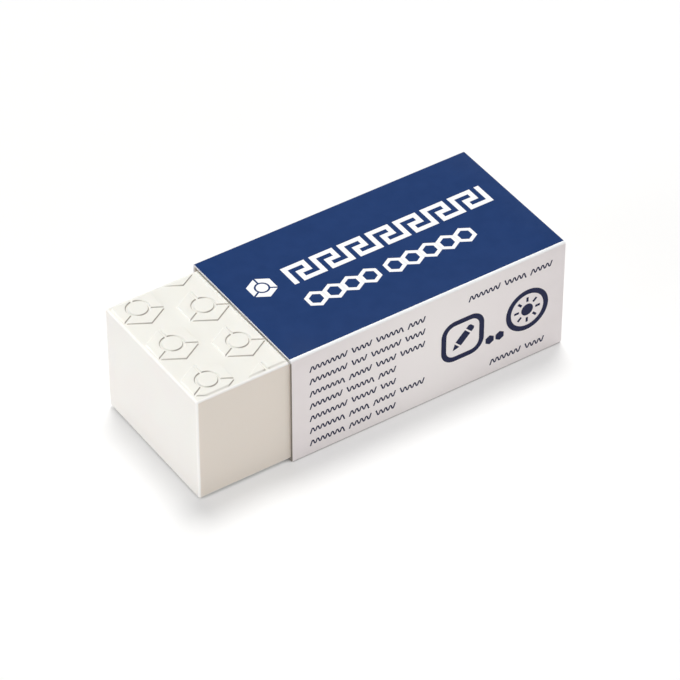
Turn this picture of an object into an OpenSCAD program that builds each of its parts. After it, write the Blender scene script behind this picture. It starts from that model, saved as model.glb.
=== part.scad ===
// Block of white vinyl eraser in a folded card sleeve.
// X runs along the block, and its bare end points to minus X. Z is up, and Y runs from
// the near long side to the far one. The origin is under the middle of the whole object.

/* [Vinyl block] */
// Length of the block
block_l = 45; // [40:0.5:60]
// Width of the block
block_w = 17.5; // [12:0.1:26]
// Height of the block, up to its flat top face
block_h = 13; // [9:0.1:18]
// Radius along the edges of the block
block_edge_r = 0.3; // [0.1:0.05:0.8]

/* [Raised pattern] */
// Height of the pattern above the top face
relief_h = 0.15; // [0.05:0.05:0.4]
// Width of one motif, corner to corner
motif_w = 5.4; // [3.5:0.1:6]
// Diameter of the round centre of a motif
centre_d = 2.1; // [1:0.1:2.8]
// Width of the narrow grooves in a motif
groove_w = 0.26; // [0.14:0.01:0.4]
// Number of short grooves from the round centre outwards
slots = 3; // [2:1:6]
// Distance from one column of motifs to the next, along the block
column_pitch = 5.8; // [5.6:0.1:9]
// Distance from one motif to the next in a column, across the block
motif_pitch = 6.6; // [6.2:0.1:9]
// Distance from the bare end to the middle of the first column
first_column_x = 2.75; // [1:0.05:6]
// Distance from the near side to the middle of the first motif
first_motif_y = 2.3; // [1:0.05:6]

/* [Card sleeve] */
// Length of the sleeve
sleeve_l = 34; // [20:0.5:38]
// Thickness of the card
card_t = 0.25; // [0.2:0.05:0.5]
// Inner radius of the folds
fold_r = 0.1; // [0.05:0.05:0.3]
// Height of the glued flap behind the far panel
flap_h = 8.5; // [3:0.1:9]
// Height of the free edge of the far panel above the underside
seam_h = 0.9; // [0.8:0.05:2]

/* [Fit of the block in the sleeve] */
// Clearance on each long side of the block
side_gap = 0.15; // [0.05:0.01:0.4]
// Clearance above the raised pattern
top_gap = 0.05; // [0.03:0.01:0.3]
// Clearance under the block
base_gap = 0.03; // [0.02:0.01:0.2]

/* [Hidden] */
$fn = 48;

vinyl_white = [0.97, 0.965, 0.95];
card_white = [0.93, 0.925, 0.93];
print_blue = [0.16, 0.25, 0.45];

// Space inside the folded card, and the size over the outside of it
inner_w = block_w + 2 * side_gap;
inner_h = base_gap + block_h + relief_h + top_gap;
sleeve_w = inner_w + 3 * card_t;
sleeve_h = inner_h + 2 * card_t;
bend_r = fold_r + card_t;
sleeve_x = block_l / 2 - sleeve_l;

// Near lower corner of the block at its bare end
block_x = -block_l / 2;
block_y = -sleeve_w / 2 + card_t + side_gap;
block_z = card_t + base_gap;

// Copies of the motif that reach over the whole top face
columns = ceil(block_l / column_pitch);
motifs = ceil(block_w / motif_pitch);

// Flat rectangle with round corners, from the origin
module round_rect(length, width, r) {
    translate([r, 0]) square([length - 2 * r, width]);
    translate([0, r]) square([length, width - 2 * r]);
    for (x = [r, length - r])
        for (y = [r, width - r])
            translate([x, y]) circle(r);
}

// Flat shape in Y and Z, drawn out along X
module along_x(length) {
    rotate([90, 0, 90]) linear_extrude(length) children();
}

// Plain block with all its edges rounded
module block_body() {
    intersection() {
        linear_extrude(block_h) round_rect(block_l, block_w, block_edge_r);
        along_x(block_l) round_rect(block_w, block_h, block_edge_r);
        translate([0, block_w, 0]) rotate([90, 0, 0]) linear_extrude(block_w)
            round_rect(block_l, block_h, block_edge_r);
    }
}

// One motif: a six-sided plate, parted by a groove round its centre and by short ones
// from there to its corners
module motif() {
    circle(d = centre_d);
    difference() {
        rotate(90) circle(d = motif_w, $fn = 6);
        circle(d = centre_d + 2 * groove_w);
        for (k = [1:slots])
            rotate(90 + k * 360 / slots) translate([0, -groove_w / 2]) square([motif_w, groove_w]);
    }
}

// Columns of motifs, with every other column moved by half a pitch, cut off at the edges
module relief() {
    intersection() {
        for (i = [-1:columns])
            for (j = [-1:motifs])
                translate([first_column_x + i * column_pitch,
                           first_motif_y + (j + (i % 2) / 2) * motif_pitch])
                    motif();
        translate([block_edge_r, block_edge_r])
            square([block_l - 2 * block_edge_r, block_w - 2 * block_edge_r]);
    }
}

// The pattern stands on the top face, and is rooted in the block by its own height
module eraser_block() {
    color(vinyl_white) translate([block_x, block_y, block_z]) {
        block_body();
        translate([0, 0, block_h - relief_h]) linear_extrude(2 * relief_h) relief();
    }
}

// Outline of the folded card: it turns round the flap at the lower far fold, and the far
// panel hangs outside the flap, from the upper far fold down to its free edge
module card_outline() {
    round_rect(sleeve_w - card_t, sleeve_h, bend_r);
    intersection() {
        round_rect(sleeve_w, sleeve_h, bend_r);
        translate([0, seam_h]) square([sleeve_w, sleeve_h]);
    }
}

// Space inside the card, one thickness wider above the flap
module card_space() {
    translate([card_t, card_t]) {
        round_rect(inner_w, inner_h, fold_r);
        intersection() {
            round_rect(inner_w + card_t, inner_h, fold_r);
            translate([0, flap_h - card_t]) square([inner_w + card_t, inner_h]);
        }
    }
}

// The two broad panels, from fold to fold
module broad_panels() {
    translate([bend_r, 0]) square([sleeve_w - card_t - 2 * bend_r, card_t]);
    translate([bend_r, sleeve_h - card_t]) square([sleeve_w - 2 * bend_r, card_t]);
}

// One strip of card, folded four times and glued along the far side. The print is a
// field of blue on each broad panel, and the folds and sides stay white.
module card_sleeve() {
    translate([sleeve_x, -sleeve_w / 2, 0]) {
        color(card_white) along_x(sleeve_l)
            difference() {
                card_outline();
                card_space();
                broad_panels();
            }
        color(print_blue) along_x(sleeve_l) broad_panels();
    }
}

eraser_block();
card_sleeve();
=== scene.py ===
import math

import bmesh
import bpy
from mathutils import Matrix, Vector
from mathutils.geometry import delaunay_2d_cdt


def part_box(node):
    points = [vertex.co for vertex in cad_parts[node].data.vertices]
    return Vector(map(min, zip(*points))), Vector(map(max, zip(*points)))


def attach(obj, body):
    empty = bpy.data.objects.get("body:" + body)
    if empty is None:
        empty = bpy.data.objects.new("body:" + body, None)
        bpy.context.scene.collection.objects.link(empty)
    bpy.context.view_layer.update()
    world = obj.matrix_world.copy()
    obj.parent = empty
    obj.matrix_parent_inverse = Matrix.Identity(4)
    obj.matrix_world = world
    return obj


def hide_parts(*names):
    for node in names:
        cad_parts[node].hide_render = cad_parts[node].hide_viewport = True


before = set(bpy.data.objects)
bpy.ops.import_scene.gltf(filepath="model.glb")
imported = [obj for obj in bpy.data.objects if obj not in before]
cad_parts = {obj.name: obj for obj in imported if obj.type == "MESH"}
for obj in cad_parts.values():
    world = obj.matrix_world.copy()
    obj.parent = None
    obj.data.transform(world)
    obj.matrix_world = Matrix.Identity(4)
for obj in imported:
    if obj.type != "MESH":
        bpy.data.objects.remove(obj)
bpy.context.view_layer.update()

mm = 0.001  # sizes in the dictionaries are in millimetres
scene = bpy.context.scene


def boxInMillimetres(node):
    low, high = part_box(node)
    return low / mm, high / mm


blockLow, blockHigh = boxInMillimetres("eraser_block")
sleeveLow, sleeveHigh = boxInMillimetres("card_sleeve")
print("frame loaded: block", tuple(round(v, 2) for v in blockHigh - blockLow))


# Flat outlines, as lists of points that run counter-clockwise

def arcPoints(centre, radius, fromAngle, toAngle, steps):
    angles = [math.radians(fromAngle + (toAngle - fromAngle) * i / steps) for i in range(steps + 1)]
    return [centre + radius * Vector((math.cos(angle), math.sin(angle))) for angle in angles]


def circleOutline(centre, radius, steps=32):
    return arcPoints(centre, radius, 0, 360, steps)[:-1]


def turned(outline, angle):
    turn = Matrix.Rotation(math.radians(angle), 2)
    return [turn @ point for point in outline]


def grown(outline, amount):
    result = []
    for before, point, after in zip(outline[-1:] + outline[:-1], outline, outline[1:] + outline[:1]):
        along = (point - before).normalized()
        onward = (after - point).normalized()
        middle = Vector((along.y + onward.y, -along.x - onward.x))
        result.append(point + middle * 2 * amount / middle.length_squared)
    return result


def isInside(point, outline):
    crossings = 0
    for a, b in zip(outline, outline[1:] + outline[:1]):
        if (a.y > point.y) != (b.y > point.y):
            if point.x < a.x + (point.y - a.y) * (b.x - a.x) / (b.y - a.y):
                crossings += 1
    return crossings % 2 == 1


def fillTriangles(outlines):
    points = [point for outline in outlines for point in outline]
    edges = []
    for outline in outlines:
        first = len(edges)
        edges += [(first + i, first + (i + 1) % len(outline)) for i in range(len(outline))]
    spots, _, triangles, _, _, _ = delaunay_2d_cdt(points, edges, [], 0, 1e-6)
    kept = []
    for triangle in triangles:
        centre = sum((spots[i] for i in triangle), Vector((0, 0))) / 3
        if sum(isInside(centre, outline) for outline in outlines) % 2 == 1:
            kept.append(triangle)
    return spots, kept


# Meshes

def addObject(name, points, faces, materials, faceSlots=None):
    mesh = bpy.data.meshes.new(name)
    mesh.from_pydata([Vector(point) * mm for point in points], [], faces)
    for material in materials:
        mesh.materials.append(material)
    if faceSlots:
        mesh.polygons.foreach_set("material_index", faceSlots)
    piece = bpy.data.objects.new(name, mesh)
    scene.collection.objects.link(piece)
    return piece


def finishMesh(piece, mergeBelow=1e-4, smoothBelow=40):
    shape = bmesh.new()
    shape.from_mesh(piece.data)
    bmesh.ops.remove_doubles(shape, verts=shape.verts, dist=mergeBelow * mm)
    shape.to_mesh(piece.data)
    shape.free()
    piece.data.polygons.foreach_set("use_smooth", [True] * len(piece.data.polygons))
    piece.data.set_sharp_from_angle(angle=math.radians(smoothBelow))
    piece.data.update()


# Geometry Nodes trees: each has named inputs, and is set to one piece by the sockets' identifiers

def newTree(name, inputs):
    tree = bpy.data.node_groups.new(name, "GeometryNodeTree")
    tree.interface.new_socket("Geometry", in_out="OUTPUT", socket_type="NodeSocketGeometry")
    for label, kind in inputs:
        tree.interface.new_socket(label, in_out="INPUT", socket_type="NodeSocket" + kind)
    start = tree.nodes.new("NodeGroupInput")
    end = tree.nodes.new("NodeGroupOutput")
    return tree, start.outputs, end.inputs["Geometry"]


def addNode(tree, kind, sockets=None, **settings):
    node = tree.nodes.new(kind)
    for key, value in settings.items():
        setattr(node, key, value)
    for key, value in (sockets or {}).items():
        if isinstance(value, bpy.types.NodeSocket):
            tree.links.new(value, node.inputs[key])
        else:
            node.inputs[key].default_value = value
    return node


def mathNode(tree, operation, first, second=0.0):
    return addNode(tree, "ShaderNodeMath", {0: first, 1: second}, operation=operation).outputs[0]


def growPiece(name, tree, values):
    piece = bpy.data.objects.new(name, bpy.data.meshes.new(name))
    scene.collection.objects.link(piece)
    modifier = piece.modifiers.new("grow", "NODES")
    modifier.node_group = tree
    inputs = [item for item in tree.interface.items_tree if item.in_out == "INPUT"]
    identifiers = {item.name: item.identifier for item in inputs}
    for label, value in values.items():
        modifier[identifiers[label]] = value
    depsgraph = bpy.context.evaluated_depsgraph_get()
    grownMesh = bpy.data.meshes.new_from_object(piece.evaluated_get(depsgraph), depsgraph=depsgraph)
    piece.modifiers.remove(modifier)
    piece.data = grownMesh
    return piece


# Materials

def newMaterial(name):
    material = bpy.data.materials.new(name)
    material.use_nodes = True
    nodes = material.node_tree.nodes
    return material, material.node_tree, nodes["Principled BSDF"]


def newShaderGroup(name, inputs, outputs):
    group = bpy.data.node_groups.new(name, "ShaderNodeTree")
    for label, value in inputs.items():
        socket = group.interface.new_socket(label, in_out="INPUT", socket_type="NodeSocketFloat")
        socket.default_value = value
    for label in outputs:
        group.interface.new_socket(label, in_out="OUTPUT", socket_type="NodeSocketFloat")
    start = group.nodes.new("NodeGroupInput")
    end = group.nodes.new("NodeGroupOutput")
    return group, start.outputs, end.inputs


def mixColours(tree, share, first, second):
    node = addNode(tree, "ShaderNodeMix", data_type="RGBA")
    for key, value in ((0, share), (6, first), (7, second)):
        if isinstance(value, bpy.types.NodeSocket):
            tree.links.new(value, node.inputs[key])
        else:
            node.inputs[key].default_value = value if key == 0 else (*value, 1)
    return node.outputs[2]


def mapRange(tree, value, fromLow, fromHigh, toLow=0.0, toHigh=1.0):
    sockets = {0: value, 1: fromLow, 2: fromHigh, 3: toLow, 4: toHigh}
    return addNode(tree, "ShaderNodeMapRange", sockets).outputs[0]


def makeUnevenness():  # soft blotches of one size, and a fine grain of another
    group, start, end = newShaderGroup(
        "unevenness", {"Blotch Scale": 300.0, "Grain Scale": 6000.0}, ["Blotch", "Grain"])
    place = addNode(group, "ShaderNodeTexCoord").outputs["Object"]
    blotch = addNode(group, "ShaderNodeTexNoise",
                     {"Vector": place, "Scale": start["Blotch Scale"], "Detail": 2.0, "Roughness": 0.45})
    grain = addNode(group, "ShaderNodeTexNoise",
                    {"Vector": place, "Scale": start["Grain Scale"], "Detail": 3.0, "Roughness": 0.6})
    group.links.new(mapRange(group, blotch.outputs[0], 0.32, 0.68), end["Blotch"])
    group.links.new(mapRange(group, grain.outputs[0], 0.3, 0.7), end["Grain"])
    return group


unevenness = makeUnevenness()


def placeUnevenness(tree, blotchScale, grainScale):
    node = addNode(tree, "ShaderNodeGroup", node_tree=unevenness)
    node.inputs["Blotch Scale"].default_value = blotchScale
    node.inputs["Grain Scale"].default_value = grainScale
    return node.outputs["Blotch"], node.outputs["Grain"]


def addBump(tree, shader, height, depth):
    bump = addNode(tree, "ShaderNodeBump", {"Height": height, "Distance": depth * mm, "Strength": 1.0})
    tree.links.new(bump.outputs[0], shader.inputs["Normal"])


# The block: a half-drop pattern of raised motifs on its top, and rounded edges all round

eraserBlock = {
    "edgeRadius": 0.3,
    "edgeSteps": 5,
    "reliefHeight": 0.15,
    "motifWidth": 5.4,
    "centreWidth": 2.1,
    "grooveWidth": 0.26,
    "columnPitch": 5.8,
    "motifPitch": 6.6,
    "firstColumn": 2.75,  # from the bare end
    "firstMotif": 2.3,  # from the near side
    "runOut": 0.25,  # width of the strip along the edges where the pattern sinks to nothing
    # offset of each ring round a motif's edge, and its share of the height
    "shoulder": ((0.09, 0.0), (0.06, 0.02), (0.03, 0.17), (0.0, 0.5),
                 (-0.03, 0.83), (-0.06, 0.98), (-0.09, 1.0)),
    "edgeHold": 0.06,  # from a rounded edge to the next ring down the wall
}

vinylLook = {
    "base": (0.9, 0.89, 0.855),
    "warm": (0.9, 0.868, 0.843),
    "side": (0.865, 0.795, 0.72),  # painted shade: darker and warmer on the two long sides
    # painted shade: a darker, yellower tone over the top, set to how the top is lit
    "top": (0.825, 0.817, 0.757),
    "topShadeShare": 0.75,
    # painted highlight along the rounded edges of the top and the upright edges
    "edge": (0.98, 0.965, 0.945),
    "edgeWidth": 0.28,
    "shadedWall": (0.36, 0.33, 0.3),  # painted shade on the walls of the raised pattern that face the near side and the sleeve
    "litWall": (0.99, 0.985, 0.95),  # painted highlight on its other walls
    # direction that the walls with painted shade face
    "shadedWallFacing": (0.55, -0.83, 0.0),
    "roughness": 0.5,
    "sheen": 0.35,
    "blotchScale": 160.0,
    "grainScale": 9000.0,
    "grainDepth": 0.006,
    "glowWeight": 0.15,
    "glowColour": (1.0, 0.85, 0.7),
    "glowDepth": 0.4,
}


def makeVinyl():
    material, tree, shader = newMaterial("whiteVinyl")
    blotch, grain = placeUnevenness(tree, vinylLook["blotchScale"], vinylLook["grainScale"])
    colour = mixColours(tree, blotch, vinylLook["base"], vinylLook["warm"])
    coordinates = addNode(tree, "ShaderNodeTexCoord").outputs
    spot = addNode(tree, "ShaderNodeSeparateXYZ", {0: coordinates["Object"]}).outputs
    relief = eraserBlock["reliefHeight"] * mm
    nearFaces = 0.0  # 1 by one pair of faces, 2 along an edge, 3 at a corner
    for axis in range(3):
        middle = (blockLow[axis] + blockHigh[axis]) / 2 * mm
        half = (blockHigh[axis] - blockLow[axis]) / 2 * mm
        reach = vinylLook["edgeWidth"] * mm
        fromMiddle = mathNode(tree, "SUBTRACT", spot[axis], middle)
        if axis == 2:  # only the top counts, and it lies below the raised pattern
            reach += relief
        else:
            fromMiddle = mathNode(tree, "ABSOLUTE", fromMiddle)
        nearFace = mapRange(tree, fromMiddle, half - reach, half - reach * 0.6)
        nearFaces = mathNode(tree, "ADD", nearFace, nearFaces)
        if axis == 1:
            # painted shade over all of a flat long side, fading out over the start of its rounded edges
            shadedSide = mapRange(tree, fromMiddle, half - 0.06 * mm, half - 0.01 * mm)
            colour = mixColours(tree, shadedSide, colour, vinylLook["side"])
    # painted shade: the top's own darker tone
    shadedTop = mapRange(tree, nearFace, 0.5, 1.0, 0.0, vinylLook["topShadeShare"])
    colour = mixColours(tree, shadedTop, colour, vinylLook["top"])
    # painted highlight where two faces meet
    onPaintedHighlight = mapRange(tree, nearFaces, 1.2, 2.0)
    colour = mixColours(tree, onPaintedHighlight, colour, vinylLook["edge"])
    rise = mapRange(tree, spot["Z"], blockHigh.z * mm - relief, blockHigh.z * mm)
    halfWay = mathNode(tree, "SUBTRACT", rise, mathNode(tree, "MULTIPLY", rise, rise))
    onRise = mathNode(tree, "MULTIPLY", halfWay, 5.0)  # 0 at the foot and the top of a wall
    facing = addNode(tree, "ShaderNodeVectorMath", {0: coordinates["Normal"], 1: vinylLook["shadedWallFacing"]},
                     operation="DOT_PRODUCT").outputs["Value"]
    # painted shade on walls turned one way, painted highlight on walls turned the other
    for look, fromFacing, toFacing in (("shadedWall", 0.05, 0.6), ("litWall", -0.05, -0.5)):
        turnedThere = mapRange(tree, facing, fromFacing, toFacing)
        share = mathNode(tree, "SUBTRACT", mathNode(tree, "MULTIPLY", onRise, turnedThere), onPaintedHighlight)
        colour = mixColours(tree, share, colour, vinylLook[look])
    tree.links.new(colour, shader.inputs["Base Color"])
    roughness = mapRange(tree, grain, 0, 1, vinylLook["roughness"] - 0.06, vinylLook["roughness"] + 0.08)
    tree.links.new(roughness, shader.inputs["Roughness"])
    shader.inputs["Specular IOR Level"].default_value = vinylLook["sheen"]
    shader.inputs["Subsurface Weight"].default_value = vinylLook["glowWeight"]
    shader.inputs["Subsurface Radius"].default_value = vinylLook["glowColour"]
    shader.inputs["Subsurface Scale"].default_value = vinylLook["glowDepth"] * mm
    addBump(tree, shader, grain, vinylLook["grainDepth"])
    return material


vinyl = makeVinyl()


def plateOutline(width, centre, groove):  # a third of a six-sided plate, between two grooves
    corner = width / 2
    half = groove / 2
    inner = centre / 2 + groove
    start = Vector((corner - half * math.tan(math.radians(30)), half))
    middle = corner * Vector((math.cos(math.radians(60)), math.sin(math.radians(60))))
    lean = math.degrees(math.atan2(start.y, start.x))
    end = arcPoints(Vector((0, 0)), start.length, 120 - lean, 120 - lean, 1)[:1]
    spread = math.degrees(math.asin(half / inner))
    return [start, middle, *end, *arcPoints(Vector((0, 0)), inner, 120 - spread, spread, 12)]


def motifOutlines(width, centre, groove):
    plate = plateOutline(width, centre, groove)
    return [circleOutline(Vector((0, 0)), centre / 2)] + [turned(plate, 90 + 120 * k) for k in range(3)]


def makeTile():
    size = eraserBlock
    halfX, halfY = size["columnPitch"] / 2, size["motifPitch"] / 2
    spots = ((-halfX, -halfY), (halfX, -halfY), (halfX, 0), (halfX, halfY), (-halfX, halfY), (-halfX, 0))
    border = [Vector(spot) for spot in spots]
    islands = motifOutlines(size["motifWidth"], size["centreWidth"], size["grooveWidth"])
    points, faces = [], []

    def addFlat(outlines, height):
        spots, triangles = fillTriangles(outlines)
        first = len(points)
        points.extend((*spot, height) for spot in spots)
        faces.extend([first + i for i in triangle] for triangle in triangles)

    outermost = size["shoulder"][0][0]
    innermost = size["shoulder"][-1][0]
    addFlat([border] + [grown(island, outermost) for island in islands], 0)
    for island in islands:
        count = len(island)
        first = len(points)
        for amount, share in size["shoulder"]:
            points.extend((*spot, share * size["reliefHeight"]) for spot in grown(island, amount))
        for ring in range(len(size["shoulder"]) - 1):
            for i in range(count):
                a, b = first + ring * count + i, first + ring * count + (i + 1) % count
                faces.append((a, b, b + count, a + count))
        addFlat([grown(island, innermost)], size["reliefHeight"])
    tile = addObject("tile", points, faces, [vinyl])
    finishMesh(tile)
    return tile


def makeHalfDropTree():
    tree, given, result = newTree("halfDropPattern", [
        ("Tile", "Object"), ("Start", "Vector"), ("Columns", "Int"), ("Motifs", "Int"),
        ("Column Pitch", "Float"), ("Motif Pitch", "Float"), ("Merge Distance", "Float"),
        ("Material", "Material")])
    across = addNode(tree, "ShaderNodeCombineXYZ", {0: given["Column Pitch"]}).outputs[0]
    columns = addNode(tree, "GeometryNodeMeshLine",
                      {"Count": given["Columns"], "Start Location": given["Start"], "Offset": across})
    index = addNode(tree, "GeometryNodeInputIndex").outputs[0]
    drop = mathNode(tree, "MULTIPLY", mathNode(tree, "MODULO", index, 2.0), given["Motif Pitch"])
    halfDrop = mathNode(tree, "MULTIPLY", drop, 0.5)
    dropped = addNode(tree, "GeometryNodeSetPosition", {
        "Geometry": columns.outputs[0],
        "Offset": addNode(tree, "ShaderNodeCombineXYZ", {1: halfDrop}).outputs[0]})
    along = addNode(tree, "ShaderNodeCombineXYZ", {1: given["Motif Pitch"]}).outputs[0]
    column = addNode(tree, "GeometryNodeMeshLine", {"Count": given["Motifs"], "Offset": along})
    spots = addNode(tree, "GeometryNodeInstanceOnPoints",
                    {"Points": dropped.outputs[0], "Instance": column.outputs[0]})
    realSpots = addNode(tree, "GeometryNodeRealizeInstances", {0: spots.outputs[0]})
    tile = addNode(tree, "GeometryNodeObjectInfo", {"Object": given["Tile"]})
    tiles = addNode(tree, "GeometryNodeInstanceOnPoints",
                    {"Points": realSpots.outputs[0], "Instance": tile.outputs["Geometry"]})
    real = addNode(tree, "GeometryNodeRealizeInstances", {0: tiles.outputs[0]})
    merged = addNode(tree, "GeometryNodeMergeByDistance",
                     {"Geometry": real.outputs[0], "Distance": given["Merge Distance"]})
    coated = addNode(tree, "GeometryNodeSetMaterial",
                     {"Geometry": merged.outputs[0], "Material": given["Material"]})
    tree.links.new(coated.outputs[0], result)
    return tree


def growPattern(flatTop):  # the tile laid out over more than the whole top
    size = eraserBlock
    length, width = blockHigh.x - blockLow.x, blockHigh.y - blockLow.y
    tile = makeTile()
    block = growPiece("eraserBlock", makeHalfDropTree(), {
        "Tile": tile,
        "Start": ((blockLow.x + size["firstColumn"] - size["columnPitch"]) * mm,
                  (blockLow.y + size["firstMotif"] - 1.5 * size["motifPitch"]) * mm, flatTop * mm),
        "Columns": math.ceil(length / size["columnPitch"]) + 2,
        "Motifs": math.ceil(width / size["motifPitch"]) + 2,
        "Column Pitch": size["columnPitch"] * mm,
        "Motif Pitch": size["motifPitch"] * mm,
        "Merge Distance": 1e-3 * mm,
        "Material": vinyl,
    })
    bpy.data.objects.remove(tile)
    return block


def cutAlong(shape, point, direction, keepOutside):
    everything = shape.verts[:] + shape.edges[:] + shape.faces[:]
    bmesh.ops.bisect_plane(shape, geom=everything, dist=2e-4 * mm, plane_co=Vector(point) * mm,
                           plane_no=direction, clear_outer=not keepOutside)


def trimPattern(shape, low, high, flatTop):  # cut to the flat of the top, and sunk along its edges
    runOut = eraserBlock["runOut"]
    for inset, keepOutside in ((0, False), (runOut, True)):
        cutAlong(shape, (low.x + inset, 0, 0), (-1, 0, 0), keepOutside)
        cutAlong(shape, (high.x - inset, 0, 0), (1, 0, 0), keepOutside)
        cutAlong(shape, (0, low.y + inset, 0), (0, -1, 0), keepOutside)
        cutAlong(shape, (0, high.y - inset, 0), (0, 1, 0), keepOutside)
    bmesh.ops.remove_doubles(shape, verts=shape.verts, dist=1e-3 * mm)
    for vertex in shape.verts:
        x, y, z = vertex.co / mm
        fromEdge = min(x - low.x, high.x - x, y - low.y, high.y - y)
        share = max(0.0, min(1.0, fromEdge / runOut))
        vertex.co.z = (flatTop + (z - flatTop) * share) * mm


def borderVertices(shape):  # in order, counter-clockwise as seen from above
    edges = [edge for edge in shape.edges if edge.is_boundary]
    links = {}
    for edge in edges:
        for vertex in edge.verts:
            links.setdefault(vertex, []).append(edge.other_vert(vertex))
    start = min(links, key=lambda vertex: (vertex.co.x, vertex.co.y))
    order = [start]
    onward = max(links[start], key=lambda vertex: vertex.co.x)
    while onward is not start:
        order.append(onward)
        onward = next(vertex for vertex in links[onward] if vertex is not order[-2])
    return order


def borderPivots(border, low, high):  # each point with its outward angle, and several at a corner
    sides = ((low.y, 1, -90), (high.x, 0, 0), (high.y, 1, 90), (low.x, 0, 180))
    steps = eraserBlock["edgeSteps"]
    pivots = []
    for vertex in border:
        angles = [angle for place, axis, angle in sides if abs(vertex.co[axis] / mm - place) < 1e-3]
        if len(angles) == 1:
            pivots.append((vertex, angles[0]))
        else:
            first = 180 if set(angles) == {180, -90} else min(angles)
            pivots.extend((vertex, first + 90 * i / steps) for i in range(steps + 1))
    return pivots


def wallProfile(flatTop):  # (outset, height) of the rings, from the top round both edges to the underside
    radius, steps, hold = eraserBlock["edgeRadius"], eraserBlock["edgeSteps"], eraserBlock["edgeHold"]
    upper, lower = flatTop - radius, blockLow.z + radius
    bend = [math.radians(90 * i / steps) for i in range(steps + 1)]
    profile = [(radius * math.sin(angle), upper + radius * math.cos(angle)) for angle in bend[1:]]
    profile += [(radius, upper - hold), (radius, lower + hold)]
    profile += [(radius * math.cos(angle), lower - radius * math.sin(angle)) for angle in bend[:-1]]
    return profile


def addWalls(shape, low, high, flatTop):
    border = borderVertices(shape)
    pivots = borderPivots(border, low, high)
    rings = [[vertex for vertex, _ in pivots]]
    for outset, height in wallProfile(flatTop):
        ring = []
        for vertex, angle in pivots:
            outwards = Vector((math.cos(math.radians(angle)), math.sin(math.radians(angle)), 0))
            spot = Vector((vertex.co.x, vertex.co.y, height * mm)) + outwards * outset * mm
            ring.append(shape.verts.new(spot))
        rings.append(ring)
    lowest = {vertex: shape.verts.new((vertex.co.x, vertex.co.y, blockLow.z * mm)) for vertex in border}
    rings.append([lowest[vertex] for vertex, _ in pivots])
    for upper, lower in zip(rings, rings[1:]):
        for i in range(len(pivots)):
            j = (i + 1) % len(pivots)
            corners = []
            for vertex in (upper[i], lower[i], lower[j], upper[j]):
                if vertex not in corners:
                    corners.append(vertex)
            shape.faces.new(corners)
    shape.faces.new([lowest[vertex] for vertex in reversed(border)])


def makeEraserBlock():
    inset = Vector((eraserBlock["edgeRadius"], eraserBlock["edgeRadius"], 0))
    low, high = blockLow + inset, blockHigh - inset
    flatTop = blockHigh.z - eraserBlock["reliefHeight"]
    block = growPattern(flatTop)
    shape = bmesh.new()
    shape.from_mesh(block.data)
    trimPattern(shape, low, high, flatTop)
    addWalls(shape, low, high, flatTop)
    shape.to_mesh(block.data)
    shape.free()
    finishMesh(block)
    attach(block, "block")
    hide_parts("eraser_block")
    return block


block = makeEraserBlock()
print("block made:", len(block.data.polygons), "faces")


# The sleeve: one strip of card, folded four times, with its far panel glued over a flap

cardSleeve = {
    "card": 0.25,
    "foldRadius": 0.35,  # outside of the folds
    "foldSteps": 6,
    "flapTop": 8.5,
    "seamHeight": 0.9,  # free edge of the far panel above the floor
    "layerGap": 0.01,  # glue line between the flap and the far panel
    "cutBevel": 0.04,
    "inkPastFarFold": 60,  # degrees of the far folds that the blue reaches round
    "runSteps": 4,
    "lengthSteps": 8,
}

cardLook = {
    "white": (0.885, 0.83, 0.845),
    "shade": (0.865, 0.81, 0.82),
    "litMiddle": (0.965, 0.92, 0.92),  # painted light: lighter half way along the sides
    "foldHighlight": (0.93, 0.95, 0.97),  # painted highlight along the upper near fold
    "roughness": 0.45,
    "blotchScale": 420.0,
    "fibreScale": 5200.0,
    "fibreDepth": 0.004,
    "insideDark": (0.72, 0.69, 0.65),
    "insideLight": (0.8, 0.77, 0.73),
    "cutWhite": (0.82, 0.83, 0.88),
    # painted shadow on the near side's cut edges
    "cutShaded": (0.17, 0.15, 0.13),
    "cutDust": (0.5, 0.46, 0.42),
    "cutScale": 2500.0,
    "blue": (0.0025, 0.0285, 0.126),
    "darkBlue": (0.012, 0.016, 0.06),
    "paperWhite": (0.95, 0.955, 0.97),
}


def makeCardWhite():
    material, tree, shader = newMaterial("whiteCard")
    blotch, fibre = placeUnevenness(tree, cardLook["blotchScale"], cardLook["fibreScale"])
    colour = mixColours(tree, blotch, cardLook["white"], cardLook["shade"])
    place = addNode(tree, "ShaderNodeTexCoord").outputs["Object"]
    spot = addNode(tree, "ShaderNodeSeparateXYZ", {0: place}).outputs
    middle, half = (sleeveLow.x + sleeveHigh.x) / 2 * mm, (sleeveHigh.x - sleeveLow.x) / 2 * mm
    fromMiddle = mathNode(tree, "ABSOLUTE", mathNode(tree, "SUBTRACT", spot["X"], middle))
    # painted light, brighter towards the middle of the sleeve's length
    halfWay = mapRange(tree, fromMiddle, 0.1 * half, half, 1, 0)
    colour = mixColours(tree, halfWay, colour, cardLook["litMiddle"])
    # painted highlight, bluish white near the top of the sleeve
    onFoldHighlight = mapRange(tree, spot["Z"], (sleeveHigh.z - 0.25) * mm, (sleeveHigh.z - 0.08) * mm)
    tree.links.new(mixColours(tree, onFoldHighlight, colour, cardLook["foldHighlight"]), shader.inputs["Base Color"])
    roughness = mapRange(tree, fibre, 0, 1, cardLook["roughness"] - 0.05, cardLook["roughness"] + 0.1)
    tree.links.new(roughness, shader.inputs["Roughness"])
    shader.inputs["Specular IOR Level"].default_value = 0.4
    addBump(tree, shader, fibre, cardLook["fibreDepth"])
    return material


def makeCardInside():
    material, tree, shader = newMaterial("bareCardInside")
    _, fibre = placeUnevenness(tree, cardLook["blotchScale"], cardLook["fibreScale"] * 0.6)
    colour = mixColours(tree, fibre, cardLook["insideDark"], cardLook["insideLight"])
    tree.links.new(colour, shader.inputs["Base Color"])
    shader.inputs["Roughness"].default_value = 0.85
    shader.inputs["Specular IOR Level"].default_value = 0.2
    addBump(tree, shader, fibre, cardLook["fibreDepth"] * 2)
    return material
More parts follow.
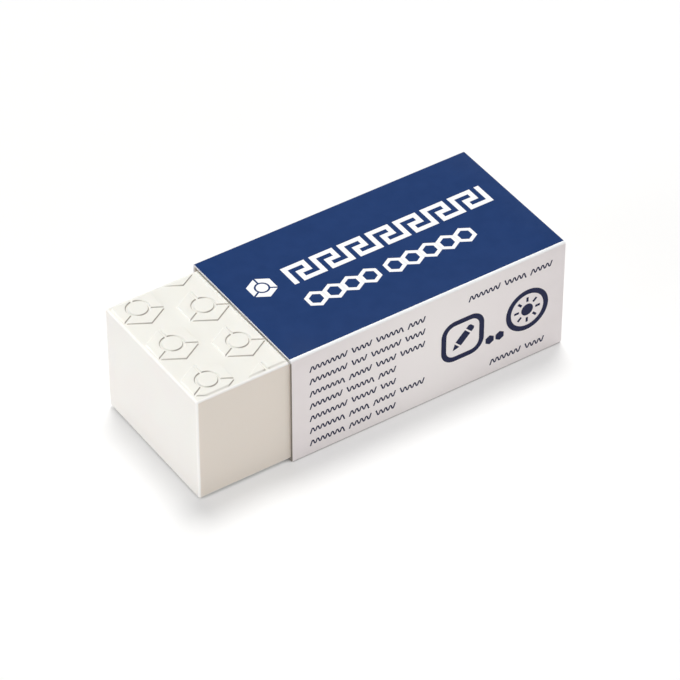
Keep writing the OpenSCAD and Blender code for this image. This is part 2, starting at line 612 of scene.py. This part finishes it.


# The cut ends of the card are white on top and at the far side, and carry a painted shadow at the near
# side, dark as the shaded gap beside the block
def makeCardCut():
    material, tree, shader = newMaterial("cutCard")
    blotch, fibre = placeUnevenness(tree, cardLook["cutScale"], cardLook["fibreScale"] * 1.6)
    place = addNode(tree, "ShaderNodeTexCoord").outputs["Object"]
    spot = addNode(tree, "ShaderNodeSeparateXYZ", {0: place}).outputs
    top = mapRange(tree, spot["Z"], (sleeveHigh.z - 0.5) * mm, (sleeveHigh.z - 0.25) * mm)
    far = mapRange(tree, spot["Y"], -1 * mm, 1 * mm)
    unshadedCut = mathNode(tree, "MAXIMUM", top, far)
    bare = mixColours(tree, unshadedCut, cardLook["cutShaded"], cardLook["cutWhite"])
    dusty = mixColours(tree, mathNode(tree, "MULTIPLY", fibre, 0.25), bare, cardLook["cutDust"])
    tree.links.new(dusty, shader.inputs["Base Color"])
    shader.inputs["Roughness"].default_value = 0.9
    shader.inputs["Specular IOR Level"].default_value = 0.15
    addBump(tree, shader, blotch, cardLook["fibreDepth"] * 3)
    return material


def makeInk(name, colour, gloss):
    material, tree, shader = newMaterial(name)
    blotch, fibre = placeUnevenness(tree, cardLook["blotchScale"] * 1.5, cardLook["fibreScale"])
    lighter = tuple(min(1.0, channel * 1.08 + 0.002) for channel in colour)
    tree.links.new(mixColours(tree, blotch, colour, lighter), shader.inputs["Base Color"])
    tree.links.new(mapRange(tree, fibre, 0, 1, gloss, gloss + 0.1), shader.inputs["Roughness"])
    shader.inputs["Specular IOR Level"].default_value = 0.1
    addBump(tree, shader, fibre, cardLook["fibreDepth"] * 0.7)
    return material


cardWhite = makeCardWhite()
cardInside = makeCardInside()
cardCut = makeCardCut()
blueInk = makeInk("blueInk", cardLook["blue"], 0.4)


def sleeveStations():  # (y, z, angle of the outward normal, printed) along the outside of the strip
    size = cardSleeve
    radius, steps = size["foldRadius"], size["foldSteps"]
    near, far, top = sleeveLow.y, sleeveHigh.y, sleeveHigh.z
    flapSide = far - size["card"] - size["layerGap"]
    stations = []

    def addRun(fromSpot, toSpot, angle, printed):
        for i in range(1, size["runSteps"]):
            share = i / size["runSteps"]
            y = fromSpot[0] + (toSpot[0] - fromSpot[0]) * share
            z = fromSpot[1] + (toSpot[1] - fromSpot[1]) * share
            stations.append((y, z, angle, printed))

    def addFold(y, z, fromAngle, toAngle, isPrinted):
        for i in range(steps + 1):
            angle = fromAngle + (toAngle - fromAngle) * i / steps
            outY, outZ = math.cos(math.radians(angle)), math.sin(math.radians(angle))
            stations.append((y + radius * outY, z + radius * outZ, angle, isPrinted(angle)))

    inkReach = size["inkPastFarFold"] + 0.1
    stations.append((flapSide, size["flapTop"], 0, False))
    addRun((flapSide, size["flapTop"]), (flapSide, radius), 0, False)
    addFold(flapSide - radius, radius, 0, -90, lambda angle: angle < inkReach - 90)
    addRun((flapSide - radius, 0), (near + radius, 0), -90, True)
    addFold(near + radius, radius, -90, -180, lambda angle: False)
    addRun((near, radius), (near, top - radius), -180, False)
    addFold(near + radius, top - radius, -180, -270, lambda angle: angle < -269.9)
    addRun((near + radius, top), (far - radius, top), -270, True)
    addFold(far - radius, top - radius, -270, -360, lambda angle: angle > -270 - inkReach)
    addRun((far, top - radius), (far, size["seamHeight"]), -360, False)
    stations.append((far, size["seamHeight"], -360, False))
    return stations


def makeCardSleeve():
    size = cardSleeve
    half = size["card"] / 2
    stations = sleeveStations()
    length = sleeveHigh.x - sleeveLow.x
    bevel = size["cutBevel"]
    rings = [(0.0, half - bevel), (bevel * 0.4, half - bevel * 0.3), (bevel, half)]
    inner = [(length * i / size["lengthSteps"], half) for i in range(1, size["lengthSteps"])]
    rings = rings + inner + [(length - x, thickness) for x, thickness in reversed(rings)]
    points, faces, slots = [], [], []
    count = len(stations)
    for x, thickness in rings:
        for side in (1, -1):
            for y, z, angle, _ in stations:
                outwards = Vector((math.cos(math.radians(angle)), math.sin(math.radians(angle))))
                spot = Vector((y, z)) - outwards * (half - side * thickness)
                points.append((sleeveLow.x + x, spot.x, spot.y))
    whiteSlot, blueSlot, insideSlot, cutSlot = range(4)
    for ring in range(len(rings) - 1):
        here, there = ring * 2 * count, (ring + 1) * 2 * count
        atCut = ring < 1 or ring > len(rings) - 3
        for i in range(count - 1):
            printed = stations[i][3] and stations[i + 1][3]
            a, b = here + i, there + i
            faces.append((a + 1, a, b, b + 1))
            slots.append(cutSlot if atCut else blueSlot if printed else whiteSlot)
            a, b = a + count, b + count
            faces.append((a, a + 1, b + 1, b))
            slots.append(cutSlot if atCut else insideSlot)
        for first, second in ((0, count), (2 * count - 1, count - 1)):
            faces.append((there + first, here + first, here + second, there + second))
            slots.append(cutSlot)
    last = (len(rings) - 1) * 2 * count
    for i in range(count - 1):
        faces.append((i, i + 1, i + 1 + count, i + count))
        a = last + i
        faces.append((a + 1, a, a + count, a + 1 + count))
        slots += [cutSlot, cutSlot]
    sleeve = addObject("cardSleeve", points, faces, [cardWhite, blueInk, cardInside, cardCut], slots)
    finishMesh(sleeve)
    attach(sleeve, "sleeve")
    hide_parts("card_sleeve")
    return sleeve


sleeve = makeCardSleeve()
print("sleeve made:", len(sleeve.data.polygons), "faces")


# The print: ornament in white on the blue panel, and in dark blue on the near side. It is a thin
# film of ink, drawn flat in (u, v) from the lower left corner of its panel, then laid on it.

def strokeSides(path, width, closed):
    left, right = [], []
    for i, point in enumerate(path):
        before = path[i - 1] if closed or i > 0 else None
        after = path[(i + 1) % len(path)] if closed or i < len(path) - 1 else None
        along = (point - before).normalized() if before is not None else (after - point).normalized()
        onward = (after - point).normalized() if after is not None else along
        middle = Vector((-along.y - onward.y, along.x + onward.x))
        mitre = middle * width / middle.length_squared
        left.append(point + mitre)
        right.append(point - mitre)
    return left, right


def addFilm(points, faces, outline, film):  # a thin plate
    first, count = len(points), len(outline)
    points.extend((*spot, -film) for spot in outline)
    points.extend((*spot, film) for spot in outline)
    faces.append([first + count - 1 - i for i in range(count)])
    faces.append([first + count + i for i in range(count)])
    for i in range(count):
        j = (i + 1) % count
        faces.append((first + i, first + j, first + count + j, first + count + i))


def addStroke(points, faces, path, width, film, closed=False, openEnds=False):
    left, right = strokeSides(path, width, closed)
    first, count = len(points), len(path)
    for height in (-film, film):
        points.extend((*spot, height) for spot in left)
        points.extend((*spot, height) for spot in right)
    steps = count if closed else count - 1
    for i in range(steps):
        a, b = first + i, first + (i + 1) % count
        c, d = a + 2 * count, b + 2 * count
        faces += [(a, b, b + count, a + count), (c + count, d + count, d, c)]
        faces += [(a, c, d, b), (b + count, d + count, c + count, a + count)]
    if not closed and not openEnds:
        a, b = first, first + count - 1
        faces.append((a, a + count, a + 3 * count, a + 2 * count))
        faces.append((b + 2 * count, b + 3 * count, b + count, b))


def makeUnitRowTree():
    tree, given, result = newTree("unitRow", [
        ("Unit", "Object"), ("Start", "Vector"), ("Count", "Int"), ("Pitch", "Float"),
        ("Merge Distance", "Float"), ("Material", "Material")])
    across = addNode(tree, "ShaderNodeCombineXYZ", {0: given["Pitch"]}).outputs[0]
    line = addNode(tree, "GeometryNodeMeshLine",
                   {"Count": given["Count"], "Start Location": given["Start"], "Offset": across})
    unit = addNode(tree, "GeometryNodeObjectInfo", {"Object": given["Unit"]})
    row = addNode(tree, "GeometryNodeInstanceOnPoints",
                  {"Points": line.outputs[0], "Instance": unit.outputs["Geometry"]})
    real = addNode(tree, "GeometryNodeRealizeInstances", {0: row.outputs[0]})
    merged = addNode(tree, "GeometryNodeMergeByDistance",
                     {"Geometry": real.outputs[0], "Distance": given["Merge Distance"]})
    inked = addNode(tree, "GeometryNodeSetMaterial",
                    {"Geometry": merged.outputs[0], "Material": given["Material"]})
    tree.links.new(inked.outputs[0], result)
    return tree


def makeFineRowsTree():  # rows of zigzag strokes, in groups of seeded lengths with a gap between two
    gapWander = 0.4  # how far a gap may lie from the start of its group, as a share of a group
    rounding = 0.3  # radius at the turns, as a share of a stride
    tree, given, result = newTree("fineRows", [
        ("Start", "Vector"), ("Rows", "Int"), ("Row Pitch", "Float"), ("Fewest Groups", "Int"),
        ("Most Groups", "Int"), ("Group", "Int"), ("Stride", "Float"), ("Height", "Float"),
        ("Stroke", "Float"), ("Film", "Float"), ("Seed", "Int"), ("Material", "Material")])
    down = mathNode(tree, "MULTIPLY", given["Row Pitch"], -1.0)
    rows = addNode(tree, "GeometryNodeMeshLine", {
        "Count": given["Rows"], "Start Location": given["Start"],
        "Offset": addNode(tree, "ShaderNodeCombineXYZ", {1: down}).outputs[0]})
    longest = mathNode(tree, "MULTIPLY", given["Most Groups"], given["Group"])
    row = addNode(tree, "GeometryNodeMeshLine", {
        "Count": longest,
        "Offset": addNode(tree, "ShaderNodeCombineXYZ", {0: given["Stride"]}).outputs[0]})
    laid = addNode(tree, "GeometryNodeInstanceOnPoints",
                   {"Points": rows.outputs[0], "Instance": row.outputs[0]})
    real = addNode(tree, "GeometryNodeRealizeInstances", {0: laid.outputs[0]})

    index = addNode(tree, "GeometryNodeInputIndex").outputs[0]
    whichRow = mathNode(tree, "FLOOR", mathNode(tree, "DIVIDE", index, longest))
    whichSpot = mathNode(tree, "MODULO", index, longest)
    upOrDown = mathNode(tree, "SUBTRACT", mathNode(tree, "MODULO", whichSpot, 2.0), 0.5)
    rise = mathNode(tree, "MULTIPLY", upOrDown, given["Height"])
    zigzag = addNode(tree, "GeometryNodeSetPosition", {
        "Geometry": real.outputs[0],
        "Offset": addNode(tree, "ShaderNodeCombineXYZ", {1: rise}).outputs[0]})

    whichGroup = mathNode(tree, "FLOOR", mathNode(tree, "DIVIDE", whichSpot, given["Group"]))
    groupsInRow = addNode(tree, "FunctionNodeRandomValue", {
        "Min": given["Fewest Groups"], "Max": given["Most Groups"], "ID": whichRow,
        "Seed": given["Seed"]}, data_type="INT")
    lastGroup = mathNode(tree, "SUBTRACT", groupsInRow.outputs[2], 0.5)
    pastEnd = mathNode(tree, "GREATER_THAN", whichGroup, lastGroup)
    groupInAll = mathNode(tree, "MULTIPLY_ADD", whichRow, 100.0)
    tree.links.new(whichGroup, groupInAll.node.inputs[2])
    shift = addNode(tree, "FunctionNodeRandomValue", {
        "Min": 0.0, "Max": mathNode(tree, "MULTIPLY", given["Group"], gapWander), "ID": groupInAll,
        "Seed": given["Seed"]}, data_type="FLOAT")
    spotInGroup = mathNode(tree, "MODULO", whichSpot, given["Group"])
    atShift = mathNode(tree, "COMPARE", spotInGroup, mathNode(tree, "FLOOR", shift.outputs[1]))
    atShift.node.inputs[2].default_value = 0.1
    inGap = mathNode(tree, "MULTIPLY", atShift, mathNode(tree, "GREATER_THAN", whichGroup, 0.5))
    leftOut = mathNode(tree, "MAXIMUM", pastEnd, inGap)
    kept = addNode(tree, "GeometryNodeDeleteGeometry",
                   {"Geometry": zigzag.outputs[0], "Selection": leftOut}, domain="POINT")
    lines = addNode(tree, "GeometryNodeMeshToCurve", {0: kept.outputs[0]})
    turnRadius = mathNode(tree, "MULTIPLY", given["Stride"], rounding)
    rounded = addNode(tree, "GeometryNodeFilletCurve",
                      {"Curve": lines.outputs[0], "Radius": turnRadius, "Count": 3}, mode="POLY")
    upright = addNode(tree, "GeometryNodeSetCurveNormal", {0: rounded.outputs[0]}, mode="Z_UP")
    filmDepth = mathNode(tree, "MULTIPLY", given["Film"], 2.0)
    nib = addNode(tree, "GeometryNodeCurvePrimitiveQuadrilateral",
                  {"Width": given["Stroke"], "Height": filmDepth}, mode="RECTANGLE")
    drawn = addNode(tree, "GeometryNodeCurveToMesh", {
        "Curve": upright.outputs[0], "Profile Curve": nib.outputs[0], "Fill Caps": True})
    inked = addNode(tree, "GeometryNodeSetMaterial",
                    {"Geometry": drawn.outputs[0], "Material": given["Material"]})
    flat = addNode(tree, "GeometryNodeRealizeInstances", {0: inked.outputs[0]})
    tree.links.new(flat.outputs[0], result)
    return tree


def joinOnPanel(name, parts, material, panel):
    shape = bmesh.new()
    for part in parts:
        shape.from_mesh(part.data)
        bpy.data.objects.remove(part)
    bmesh.ops.remove_doubles(shape, verts=shape.verts, dist=1e-3 * mm)
    bmesh.ops.holes_fill(shape, edges=[edge for edge in shape.edges if edge.is_boundary], sides=4)
    mesh = bpy.data.meshes.new(name)
    shape.to_mesh(mesh)
    shape.free()
    mesh.transform(panel)
    mesh.materials.append(material)
    piece = bpy.data.objects.new(name, mesh)
    scene.collection.objects.link(piece)
    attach(piece, "sleeve")
    return piece


darkBlueInk = makeInk("darkBlueInk", cardLook["darkBlue"], 0.4)
whiteInk = makeInk("unprintedWhite", cardLook["paperWhite"], 0.45)
upright = Matrix.Rotation(math.radians(90), 4, "X")
topPanel = Matrix.Translation(Vector((sleeveLow.x, sleeveLow.y, sleeveHigh.z)) * mm)
nearPanel = Matrix.Translation(Vector((sleeveLow.x, sleeveLow.y, 0)) * mm) @ upright
unitRowTree = makeUnitRowTree()

topPrint = {
    "film": 0.012,
    "emblemCentre": (3.8, 11.3),
    "emblemWidth": 3.3,
    "keyStart": (6.9, 9.85),
    "keyStroke": 0.58,  # width of the band's line, and of the gaps in it
    "keyTurns": ((0, 0.5), (0.5, 0.5), (0.5, 4.5), (4.5, 4.5),
                 (4.5, 2.5), (2.5, 2.5), (2.5, 0.5), (6, 0.5)),
    "keyEnd": ((0, 0.5), (0.5, 0.5), (0.5, 5)),
    "keyWidth": 6,  # of one unit; this and the turns are in widths of the line
    "keyUnits": 7,
    "ringStart": (7.5, 6.8),
    "ringWidth": 2.5,
    "ringStroke": 0.42,
    "ringPitch": 2.2,
    "ringGroups": ((0, 4), (4.4, 5)),  # pitches before the group, and rings in it
}


def makeTopPrint():
    size = topPrint
    film = size["film"]
    points, faces = [], []
    share = size["emblemWidth"] / eraserBlock["motifWidth"]
    for outline in motifOutlines(size["emblemWidth"], eraserBlock["centreWidth"] * share,
                                 eraserBlock["grooveWidth"] * share * 1.3):
        addFilm(points, faces, [spot + Vector(size["emblemCentre"]) for spot in outline], film)
    parts = [addObject("emblem", points, faces, [whiteInk])]

    line = size["keyStroke"]
    pitch = size["keyWidth"] * line
    points, faces = [], []
    addStroke(points, faces, [Vector(spot) * line for spot in size["keyTurns"]], line, film, openEnds=True)
    unit = addObject("keyUnit", points, faces, [whiteInk])
    u, v = size["keyStart"]
    parts.append(growPiece("keyBand", unitRowTree, {
        "Unit": unit, "Start": (u * mm, v * mm, 0), "Count": size["keyUnits"], "Pitch": pitch * mm,
        "Merge Distance": 1e-3 * mm, "Material": whiteInk}))
    bpy.data.objects.remove(unit)
    bandEnd = Vector((u + pitch * size["keyUnits"], v))
    lastUpright = [bandEnd + Vector(spot) * line for spot in size["keyEnd"]]
    points, faces = [], []
    addStroke(points, faces, lastUpright, line, film, openEnds=True)
    parts.append(addObject("lastUpright", points, faces, [whiteInk]))

    points, faces = [], []
    ring = turned(circleOutline(Vector((0, 0)), (size["ringWidth"] - size["ringStroke"]) / 2, 6), 90)
    addStroke(points, faces, ring, size["ringStroke"], film, closed=True)
    unit = addObject("ringUnit", points, faces, [whiteInk])
    u, v = size["ringStart"]
    for pitchesBefore, rings in size["ringGroups"]:
        start = u + pitchesBefore * size["ringPitch"]
        parts.append(growPiece("ringRow", unitRowTree, {
            "Unit": unit, "Start": (start * mm, v * mm, 0), "Count": rings,
            "Pitch": size["ringPitch"] * mm, "Merge Distance": 1e-5 * mm, "Material": whiteInk}))
    bpy.data.objects.remove(unit)
    return joinOnPanel("topPrint", parts, whiteInk, topPanel)


sidePrint = {
    "film": 0.012,
    "rowsStart": (2.2, 11.6),
    "rows": 7,
    "rowPitch": 1.66,
    "stride": 0.3,
    "height": 0.84,
    "stroke": 0.16,
    "group": 12,  # strokes between two gaps, about
    "fewestGroups": 3,
    "mostGroups": 4,
    "shortRows": ((21.8, 11.7, 3), (24.7, 1.75, 2)),  # (u, v, groups)
    "firstSeed": 5,
    "squareCentre": (21.1, 6.8),
    "squareWidth": 5.4,
    "squareCorner": 1.4,
    "pencilParts": (  # point, body and cap, along a level line
        ((-1.75, 0), (-1.0, -0.42), (-1.0, 0.42)),
        ((-0.8, -0.48), (0.85, -0.48), (0.85, 0.48), (-0.8, 0.48)),
        ((1.05, -0.48), (1.5, -0.48), (1.7, -0.28), (1.7, 0.28), (1.5, 0.48), (1.05, 0.48)),
    ),
    "pencilTilt": 45,
    "roundCentre": (29.3, 6.8),
    "roundWidth": 5.4,
    "markStroke": 0.62,
    "sunWidth": 1.5,
    "rays": 8,
    "ray": ((1.05, 0), (1.65, 0)),
    "rayStroke": 0.28,
    "pairCentre": (25.2, 4.9),
    "pairWidth": 1.2,
    "pairPitch": 1.272,
}


def roundedSquare(centre, width, radius, steps=8):
    outline = []
    for k, (x, y) in enumerate(((1, 1), (-1, 1), (-1, -1), (1, -1))):
        corner = Vector(centre) + Vector((x, y)) * (width / 2 - radius)
        outline += arcPoints(corner, radius, 90 * k, 90 * k + 90, steps)
    return outline


def makeSidePrint():
    size = sidePrint
    film = size["film"]
    fineRows = makeFineRowsTree()
    blocks = [(*size["rowsStart"], size["rows"], size["fewestGroups"], size["mostGroups"])]
    blocks += [(u, v, 1, groups, groups) for u, v, groups in size["shortRows"]]
    parts = []
    for number, (u, v, rows, fewest, most) in enumerate(blocks):
        parts.append(growPiece("fineRows", fineRows, {
            "Start": (u * mm, v * mm, 0), "Rows": rows, "Row Pitch": size["rowPitch"] * mm,
            "Fewest Groups": fewest, "Most Groups": most, "Stride": size["stride"] * mm,
            "Height": size["height"] * mm, "Stroke": size["stroke"] * mm, "Film": film * mm,
            "Group": size["group"], "Seed": size["firstSeed"] + number, "Material": darkBlueInk}))

    points, faces = [], []
    stroke = size["markStroke"]
    frameLine = roundedSquare(size["squareCentre"], size["squareWidth"] - stroke, size["squareCorner"])
    addStroke(points, faces, frameLine, stroke, film, closed=True)
    centre = Vector(size["squareCentre"])
    for part in size["pencilParts"]:
        outline = turned([Vector(spot) for spot in part], size["pencilTilt"])
        addFilm(points, faces, [spot + centre for spot in outline], film)

    centre = Vector(size["roundCentre"])
    ringLine = circleOutline(centre, (size["roundWidth"] - stroke) / 2, 48)
    addStroke(points, faces, ringLine, stroke, film, closed=True)
    addFilm(points, faces, circleOutline(centre, size["sunWidth"] / 2), film)
    for k in range(size["rays"]):
        ray = turned([Vector(spot) for spot in size["ray"]], 360 * k / size["rays"])
        addStroke(points, faces, [spot + centre for spot in ray], size["rayStroke"], film)

    for side in (-1, 1):
        centre = Vector(size["pairCentre"]) + Vector((side * size["pairPitch"] / 2, 0))
        hexagon = turned(circleOutline(centre * 0, size["pairWidth"] / 2, 6), 90)
        addFilm(points, faces, [spot + centre for spot in hexagon], film)
    parts.append(addObject("marks", points, faces, [darkBlueInk]))
    return joinOnPanel("sidePrint", parts, darkBlueInk, nearPanel)


ink = [makeTopPrint(), makeSidePrint()]
print("print made:", [len(piece.data.polygons) for piece in ink], "faces")


# Floor, lamps and camera

studio = {
    "floorHalf": 3000.0,
    "floorLevel": -0.02,
    "floorColour": (0.52, 0.52, 0.51),
    "floorShown": (0.55, 0.547, 0.543),  # what the camera sees takes shadow this much
    "floorGlow": 0.48,
    "glowShown": 0.44,
    "shadowedGlowShare": 0.15,  # painted contact shadow: share of it that is left under the object
    "footReach": 0.8,  # how near the object has to be for that
    "skyStrength": 0.22,
    # strength, direction it comes from, how wide it looks in degrees, colour
    "lamps": {
        "keyLamp": (0.77, (0.17, 0.235, 0.95), 19.0, (1.0, 1.0, 0.99)),
        "endFill": (0.4, (-0.97, 0.1, 0.14), 30.0, (1.0, 0.99, 0.98)),
        "frontFill": (0.17, (-0.1, -0.98, 0.14), 30.0, (1.0, 0.95, 0.91)),
    },
}


def makeFloor():
    reach, level = studio["floorHalf"], studio["floorLevel"]
    corners = [(x * reach, y * reach, level) for x, y in ((-1, -1), (1, -1), (1, 1), (-1, 1))]
    material, tree, shader = newMaterial("paleFloor")
    seen = addNode(tree, "ShaderNodeLightPath").outputs["Is Camera Ray"]
    colour = mixColours(tree, seen, studio["floorColour"], studio["floorShown"])
    tree.links.new(colour, shader.inputs["Base Color"])
    shader.inputs["Roughness"].default_value = 1.0
    shader.inputs["Specular IOR Level"].default_value = 0.0
    shader.inputs["Emission Color"].default_value = (1, 1, 1, 1)
    glow = mapRange(tree, seen, 0, 1, studio["floorGlow"], studio["glowShown"])
    # painted contact shadow: the glow is cut where the object covers the floor
    openness = addNode(tree, "ShaderNodeAmbientOcclusion",
                       {"Distance": studio["footReach"] * mm}, samples=8)
    bare = mapRange(tree, openness.outputs["AO"], 0.3, 0.5, studio["shadowedGlowShare"], 1)
    glow = mathNode(tree, "MULTIPLY", glow, bare)
    tree.links.new(glow, shader.inputs["Emission Strength"])
    floor = addObject("floor", corners, [(0, 1, 2, 3)], [material])


def makeSky():
    world = bpy.data.worlds.new("paleSky")
    scene.world = world
    world.use_nodes = True
    tree = world.node_tree
    background = tree.nodes["Background"]
    background.inputs["Color"].default_value = (1, 1, 1, 1)
    rays = addNode(tree, "ShaderNodeLightPath").outputs
    shown = mathNode(tree, "MAXIMUM", rays["Is Camera Ray"], rays["Is Glossy Ray"])
    shown = mathNode(tree, "MAXIMUM", shown, rays["Is Transmission Ray"])
    strength = mapRange(tree, shown, 0, 1, studio["skyStrength"], 1.0)
    tree.links.new(strength, background.inputs["Strength"])


def makeLamp(name, strength, comesFrom, width, colour):
    lamp = bpy.data.lights.new(name, "SUN")
    lamp.energy = strength * math.pi  # a white face turned to it renders at this strength
    lamp.angle = math.radians(width)
    lamp.color = colour
    holder = bpy.data.objects.new(name, lamp)
    holder.rotation_euler = Vector(comesFrom).to_track_quat("Z", "Y").to_euler()
    scene.collection.objects.link(holder)


cameraPlace = {
    "azimuth": -33.74,
    "elevation": 40.66,
    "distance": 413.2,
    "aim": (-0.325, -1.286, 5.545),
    "lens": 210.66,
    "sensor": 36.0,
    "nearest": 10.0,
}


def makeCamera():
    azimuth, elevation = math.radians(cameraPlace["azimuth"]), math.radians(cameraPlace["elevation"])
    back = Vector((math.sin(azimuth) * math.cos(elevation), -math.cos(azimuth) * math.cos(elevation),
                   math.sin(elevation)))
    camera = bpy.data.cameras.new("camera")
    camera.lens = cameraPlace["lens"]
    camera.sensor_width = cameraPlace["sensor"]
    camera.clip_start = cameraPlace["nearest"] * mm
    holder = bpy.data.objects.new("camera", camera)
    holder.location = (Vector(cameraPlace["aim"]) + back * cameraPlace["distance"]) * mm
    holder.rotation_euler = back.to_track_quat("Z", "Y").to_euler()
    scene.collection.objects.link(holder)
    scene.camera = holder


makeFloor()
makeSky()
for name, values in studio["lamps"].items():
    makeLamp(name, *values)
makeCamera()
scene.view_settings.view_transform = "Standard"
print("studio made")
